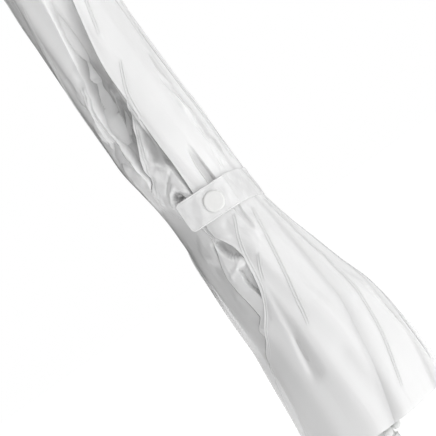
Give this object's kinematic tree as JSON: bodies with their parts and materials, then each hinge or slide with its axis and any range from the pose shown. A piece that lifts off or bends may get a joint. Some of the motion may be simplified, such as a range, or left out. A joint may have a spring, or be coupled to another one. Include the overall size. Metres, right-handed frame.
{
  "type": "stick umbrella",
  "caption": "Translucent film stick umbrella with a crook handle, furled and held by a film strap with a snap, that opens on ribs and stretchers.",
  "frame": {"origin": "on the shaft's axis, at the middle of the straight grip above the crook", "axes": "+Z runs along the shaft from the handle to the ferrule; -Y is the side where the strap closes; the crook's hook lies on the +X side"},
  "size_m": [0.113, 0.09, 0.858],
  "materials": {
    "film": "milky translucent soft film, satin gloss",
    "strap_film": "doubled milky film, satin gloss",
    "snap_plastic": "moulded white plastic, satin gloss",
    "steel": "bright zinc-plated steel",
    "rib_fibreglass": "white pultruded fibreglass rod",
    "rib_tip": "moulded white plastic",
    "rib_joint": "moulded white plastic",
    "white_plastic": "moulded white plastic, satin gloss",
    "handle_plastic": "moulded milky white plastic, glossy"
  },
  "bodies": {
    "stick": {"shaft": "steel", "stop_pin": "steel", "top_notch": "white_plastic", "top_notch_wire": "steel", "top_cap": "white_plastic", "ferrule": "white_plastic", "handle": "handle_plastic", "handle_collar": "white_plastic"},
    "runner": {"runner": "white_plastic", "runner_wire": "steel"},
    "bottom_catch": {"bottom_catch": "steel"},
    "top_catch": {"top_catch": "steel"},
    "rib_1": {"rib_1": "rib_fibreglass", "rib_tip_1": "rib_tip", "rib_joint_1": "rib_joint"},
    "rib_2": {"rib_2": "rib_fibreglass", "rib_tip_2": "rib_tip", "rib_joint_2": "rib_joint"},
    "rib_3": {"rib_3": "rib_fibreglass", "rib_tip_3": "rib_tip", "rib_joint_3": "rib_joint"},
    "rib_4": {"rib_4": "rib_fibreglass", "rib_tip_4": "rib_tip", "rib_joint_4": "rib_joint"},
    "rib_5": {"rib_5": "rib_fibreglass", "rib_tip_5": "rib_tip", "rib_joint_5": "rib_joint"},
    "rib_6": {"rib_6": "rib_fibreglass", "rib_tip_6": "rib_tip", "rib_joint_6": "rib_joint"},
    "rib_7": {"rib_7": "rib_fibreglass", "rib_tip_7": "rib_tip", "rib_joint_7": "rib_joint"},
    "rib_8": {"rib_8": "rib_fibreglass", "rib_tip_8": "rib_tip", "rib_joint_8": "rib_joint"},
    "stretcher_1": {"stretcher_1": "steel"},
    "stretcher_2": {"stretcher_2": "steel"},
    "stretcher_3": {"stretcher_3": "steel"},
    "stretcher_4": {"stretcher_4": "steel"},
    "stretcher_5": {"stretcher_5": "steel"},
    "stretcher_6": {"stretcher_6": "steel"},
    "stretcher_7": {"stretcher_7": "steel"},
    "stretcher_8": {"stretcher_8": "steel"},
    "gore_1": {"gore_1": "film", "strap_band": "strap_film", "snap_post": "snap_plastic", "snap_stud": "snap_plastic"},
    "gore_2": {"gore_2": "film"},
    "gore_3": {"gore_3": "film"},
    "gore_4": {"gore_4": "film"},
    "gore_5": {"gore_5": "film"},
    "gore_6": {"gore_6": "film"},
    "gore_7": {"gore_7": "film"},
    "gore_8": {"gore_8": "film"},
    "strap_tab": {"strap_end": "strap_film", "snap_socket": "snap_plastic", "snap_cap": "snap_plastic"}
  },
  "joints": [
    {"name": "runner_slide", "type": "slide", "parent": "stick", "child": "runner", "axis": [0, 0, 1], "range_m": [0, 0.35676], "deforming": ["strap_band"]},
    {"name": "rib_1_swing", "type": "hinge", "parent": "stick", "child": "rib_1", "pos_m": [-0.0044, -0.01062, 0.695], "axis": [-0.9239, 0.3827, 0], "range_deg": [0, 72.01]},
    {"name": "rib_2_swing", "type": "hinge", "parent": "stick", "child": "rib_2", "pos_m": [0.0044, -0.01062, 0.695], "axis": [-0.9239, -0.3827, 0], "range_deg": [0, 72.01]},
    {"name": "rib_3_swing", "type": "hinge", "parent": "stick", "child": "rib_3", "pos_m": [0.01062, -0.0044, 0.695], "axis": [-0.3827, -0.9239, 0], "range_deg": [0, 72.01]},
    {"name": "rib_4_swing", "type": "hinge", "parent": "stick", "child": "rib_4", "pos_m": [0.01062, 0.0044, 0.695], "axis": [0.3827, -0.9239, 0], "range_deg": [0, 72.01]},
    {"name": "rib_5_swing", "type": "hinge", "parent": "stick", "child": "rib_5", "pos_m": [0.0044, 0.01062, 0.695], "axis": [0.9239, -0.3827, 0], "range_deg": [0, 72.01]},
    {"name": "rib_6_swing", "type": "hinge", "parent": "stick", "child": "rib_6", "pos_m": [-0.0044, 0.01062, 0.695], "axis": [0.9239, 0.3827, 0], "range_deg": [0, 72.01]},
    {"name": "rib_7_swing", "type": "hinge", "parent": "stick", "child": "rib_7", "pos_m": [-0.01062, 0.0044, 0.695], "axis": [0.3827, 0.9239, 0], "range_deg": [0, 72.01]},
    {"name": "rib_8_swing", "type": "hinge", "parent": "stick", "child": "rib_8", "pos_m": [-0.01062, -0.0044, 0.695], "axis": [-0.3827, 0.9239, 0], "range_deg": [0, 72.01]},
    {"name": "stretcher_1_swing", "type": "hinge", "parent": "rib_1", "child": "stretcher_1", "pos_m": [-0.00295, -0.00711, 0.42], "axis": [0.9239, -0.3827, 0], "range_deg": [0, 137.64]},
    {"name": "stretcher_2_swing", "type": "hinge", "parent": "rib_2", "child": "stretcher_2", "pos_m": [0.00295, -0.00711, 0.42], "axis": [0.9239, 0.3827, 0], "range_deg": [0, 137.64]},
    {"name": "stretcher_3_swing", "type": "hinge", "parent": "rib_3", "child": "stretcher_3", "pos_m": [0.00711, -0.00295, 0.42], "axis": [0.3827, 0.9239, 0], "range_deg": [0, 137.64]},
    {"name": "stretcher_4_swing", "type": "hinge", "parent": "rib_4", "child": "stretcher_4", "pos_m": [0.00711, 0.00295, 0.42], "axis": [-0.3827, 0.9239, 0], "range_deg": [0, 137.64]},
    {"name": "stretcher_5_swing", "type": "hinge", "parent": "rib_5", "child": "stretcher_5", "pos_m": [0.00295, 0.00711, 0.42], "axis": [-0.9239, 0.3827, 0], "range_deg": [0, 137.64]},
    {"name": "stretcher_6_swing", "type": "hinge", "parent": "rib_6", "child": "stretcher_6", "pos_m": [-0.00295, 0.00711, 0.42], "axis": [-0.9239, -0.3827, 0], "range_deg": [0, 137.64]},
    {"name": "stretcher_7_swing", "type": "hinge", "parent": "rib_7", "child": "stretcher_7", "pos_m": [-0.00711, 0.00295, 0.42], "axis": [-0.3827, -0.9239, 0], "range_deg": [0, 137.64]},
    {"name": "stretcher_8_swing", "type": "hinge", "parent": "rib_8", "child": "stretcher_8", "pos_m": [-0.00711, -0.00295, 0.42], "axis": [0.3827, -0.9239, 0], "range_deg": [0, 137.64]},
    {"name": "gore_1_fan", "type": "hinge", "parent": "rib_1", "child": "gore_1", "pos_m": [0, -0.01245, 0.695], "axis": [0, -0.8303, -0.5573], "range_deg": [0, 52.01]},
    {"name": "gore_2_fan", "type": "hinge", "parent": "rib_2", "child": "gore_2", "pos_m": [0.0088, -0.0088, 0.695], "axis": [0.5871, -0.5871, -0.5573], "range_deg": [0, 52.01]},
    {"name": "gore_3_fan", "type": "hinge", "parent": "rib_3", "child": "gore_3", "pos_m": [0.01245, 0, 0.695], "axis": [0.8303, 0, -0.5573], "range_deg": [0, 52.01]},
    {"name": "gore_4_fan", "type": "hinge", "parent": "rib_4", "child": "gore_4", "pos_m": [0.0088, 0.0088, 0.695], "axis": [0.5871, 0.5871, -0.5573], "range_deg": [0, 52.01]},
    {"name": "gore_5_fan", "type": "hinge", "parent": "rib_5", "child": "gore_5", "pos_m": [0, 0.01245, 0.695], "axis": [0, 0.8303, -0.5573], "range_deg": [0, 52.01]},
    {"name": "gore_6_fan", "type": "hinge", "parent": "rib_6", "child": "gore_6", "pos_m": [-0.0088, 0.0088, 0.695], "axis": [-0.5871, 0.5871, -0.5573], "range_deg": [0, 52.01]},
    {"name": "gore_7_fan", "type": "hinge", "parent": "rib_7", "child": "gore_7", "pos_m": [-0.01245, 0, 0.695], "axis": [-0.8303, 0, -0.5573], "range_deg": [0, 52.01]},
    {"name": "gore_8_fan", "type": "hinge", "parent": "rib_8", "child": "gore_8", "pos_m": [-0.0088, -0.0088, 0.695], "axis": [-0.5871, -0.5871, -0.5573], "range_deg": [0, 52.01]},
    {"name": "strap_peel", "type": "hinge", "parent": "gore_1", "child": "strap_tab", "pos_m": [0.012, -0.0282, 0.265], "axis": [0, 0, 1], "range_deg": [0, 120]},
    {"name": "bottom_catch_press", "type": "slide", "parent": "stick", "child": "bottom_catch", "axis": [-1, 0, 0], "range_m": [0, 0.0022], "stiffness_N_per_m": 400},
    {"name": "top_catch_press", "type": "slide", "parent": "stick", "child": "top_catch", "axis": [-1, 0, 0], "range_m": [0, 0.0022], "stiffness_N_per_m": 400}
  ],
  "couplings": [
    {"joint": "rib_1_swing", "follows": "runner_slide", "rad_per_m": 3.5224},
    {"joint": "rib_2_swing", "follows": "runner_slide", "rad_per_m": 3.5224},
    {"joint": "rib_3_swing", "follows": "runner_slide", "rad_per_m": 3.5224},
    {"joint": "rib_4_swing", "follows": "runner_slide", "rad_per_m": 3.5224},
    {"joint": "rib_5_swing", "follows": "runner_slide", "rad_per_m": 3.5224},
    {"joint": "rib_6_swing", "follows": "runner_slide", "rad_per_m": 3.5224},
    {"joint": "rib_7_swing", "follows": "runner_slide", "rad_per_m": 3.5224},
    {"joint": "rib_8_swing", "follows": "runner_slide", "rad_per_m": 3.5224},
    {"joint": "stretcher_1_swing", "follows": "runner_slide", "rad_per_m": 6.7333},
    {"joint": "stretcher_2_swing", "follows": "runner_slide", "rad_per_m": 6.7333},
    {"joint": "stretcher_3_swing", "follows": "runner_slide", "rad_per_m": 6.7333},
    {"joint": "stretcher_4_swing", "follows": "runner_slide", "rad_per_m": 6.7333},
    {"joint": "stretcher_5_swing", "follows": "runner_slide", "rad_per_m": 6.7333},
    {"joint": "stretcher_6_swing", "follows": "runner_slide", "rad_per_m": 6.7333},
    {"joint": "stretcher_7_swing", "follows": "runner_slide", "rad_per_m": 6.7333},
    {"joint": "stretcher_8_swing", "follows": "runner_slide", "rad_per_m": 6.7333},
    {"joint": "gore_1_fan", "follows": "runner_slide", "rad_per_m": 2.5438},
    {"joint": "gore_2_fan", "follows": "runner_slide", "rad_per_m": 2.5438},
    {"joint": "gore_3_fan", "follows": "runner_slide", "rad_per_m": 2.5438},
    {"joint": "gore_4_fan", "follows": "runner_slide", "rad_per_m": 2.5438},
    {"joint": "gore_5_fan", "follows": "runner_slide", "rad_per_m": 2.5438},
    {"joint": "gore_6_fan", "follows": "runner_slide", "rad_per_m": 2.5438},
    {"joint": "gore_7_fan", "follows": "runner_slide", "rad_per_m": 2.5438},
    {"joint": "gore_8_fan", "follows": "runner_slide", "rad_per_m": 2.5438}
  ]
}
